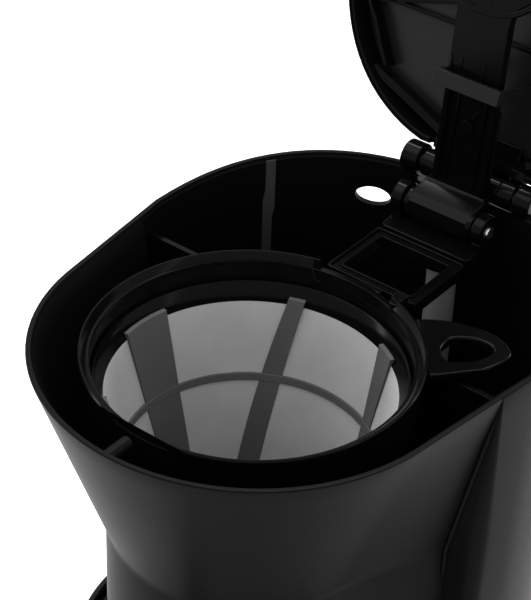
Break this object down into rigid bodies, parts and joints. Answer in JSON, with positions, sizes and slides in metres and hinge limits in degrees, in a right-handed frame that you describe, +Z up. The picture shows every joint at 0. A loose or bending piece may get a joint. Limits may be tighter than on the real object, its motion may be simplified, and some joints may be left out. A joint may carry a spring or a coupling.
{
  "type": "drip coffee maker",
  "caption": "Small black drip coffee maker with its lid open, showing the spray arm, basket ring, woven filter cone, round neck, tank column, glass jug and warming base.",
  "frame": {"origin": "floor point under the middle of the machine with its lid open; the brew axis is 50.83 mm in front of it", "axes": "+Z up, front (jug handle) towards -Y, +X to the right seen from the front"},
  "size_m": [0.154, 0.2924, 0.4484],
  "materials": {
    "shell": "satin",
    "inner": "gloss",
    "lid_inner": "gloss",
    "filter_plastic": "satin",
    "filter_nylon": "woven",
    "steel": "satin",
    "valve_plastic": "satin",
    "black_rubber": "matte",
    "silicone": "matte",
    "riser_plastic": "satin",
    "cover_plastic": "matte",
    "plate_coating": "satin",
    "cast_aluminium": "cast",
    "sleeve": "woven",
    "switch_plastic": "gloss",
    "jug_glass": "clear",
    "jug_plastic": "satin"
  },
  "bodies": {
    "machine": {"housing": "shell", "tank": "inner", "bridge": "inner", "arm_seat": "inner", "arm_pin": "steel", "lid_pins": "steel", "riser": "riser_plastic", "check_valve": "valve_plastic", "cold_tube": "silicone", "hot_tube": "silicone", "tube_clamps": "steel", "base": "shell", "base_cover": "cover_plastic", "feet": "black_rubber", "base_screws": "steel", "hot_plate": "plate_coating", "plate_seal": "black_rubber", "heater": "cast_aluminium", "thermostat": "cast_aluminium", "fuse": "sleeve", "switch_frame": "cover_plastic", "gland": "black_rubber"},
    "lid": {"lid_shell": "shell", "lid_liner": "lid_inner", "lid_bridge": "lid_inner", "lid_screws": "steel"},
    "arm": {"spray_arm": "inner", "spray_plate": "lid_inner"},
    "holder": {"basket": "inner"},
    "filter": {"filter_frame": "filter_plastic", "filter_mesh": "filter_nylon"},
    "stem": {"drip_valve": "valve_plastic", "valve_seal": "black_rubber", "valve_washer": "steel", "valve_spring": "steel"},
    "jug": {"jug_glass": "jug_glass", "jug_band": "jug_plastic", "jug_handle": "jug_plastic", "jug_screw": "steel"},
    "jug_cover": {"jug_lid": "jug_plastic"},
    "rocker": {"switch_rocker": "switch_plastic"}
  },
  "joints": [
    {"name": "lid_hinge", "type": "hinge", "parent": "machine", "child": "lid", "pos_m": [0, 0.07267, 0.2685], "axis": [1, 0, 0], "range_deg": [0, 109.5]},
    {"name": "arm_hinge", "type": "hinge", "parent": "machine", "child": "arm", "pos_m": [0, 0.05617, 0.2625], "axis": [1, 0, 0], "range_deg": [0, 95.8]},
    {"name": "holder_lift", "type": "slide", "parent": "machine", "child": "holder", "axis": [0, 0, 1], "range_m": [0, 0.155]},
    {"name": "filter_lift", "type": "slide", "parent": "holder", "child": "filter", "axis": [0, 0, 1], "range_m": [0, 0.1]},
    {"name": "stem_push", "type": "slide", "parent": "holder", "child": "stem", "axis": [0, 0, 1], "range_m": [0, 0.004], "stiffness_N_per_m": 150, "springref_m": -0.008, "deforming": ["valve_spring"]},
    {"name": "jug_pull", "type": "slide", "parent": "machine", "child": "jug", "axis": [0, -1, 0], "range_m": [0, 0.18]},
    {"name": "jug_cover_turn", "type": "hinge", "parent": "jug", "child": "jug_cover", "pos_m": [0, -0.04683, 0.129], "axis": [0, 0, 1], "range_deg": [0, 35]},
    {"name": "rocker_press", "type": "hinge", "parent": "machine", "child": "rocker", "pos_m": [0.04063, -0.10284, 0.016], "axis": [0, 0, 1], "range_deg": [0, 12]}
  ],
  "couplings": [
    {"joint": "arm_hinge", "follows": "lid_hinge", "ratio": 0.87215}
  ]
}
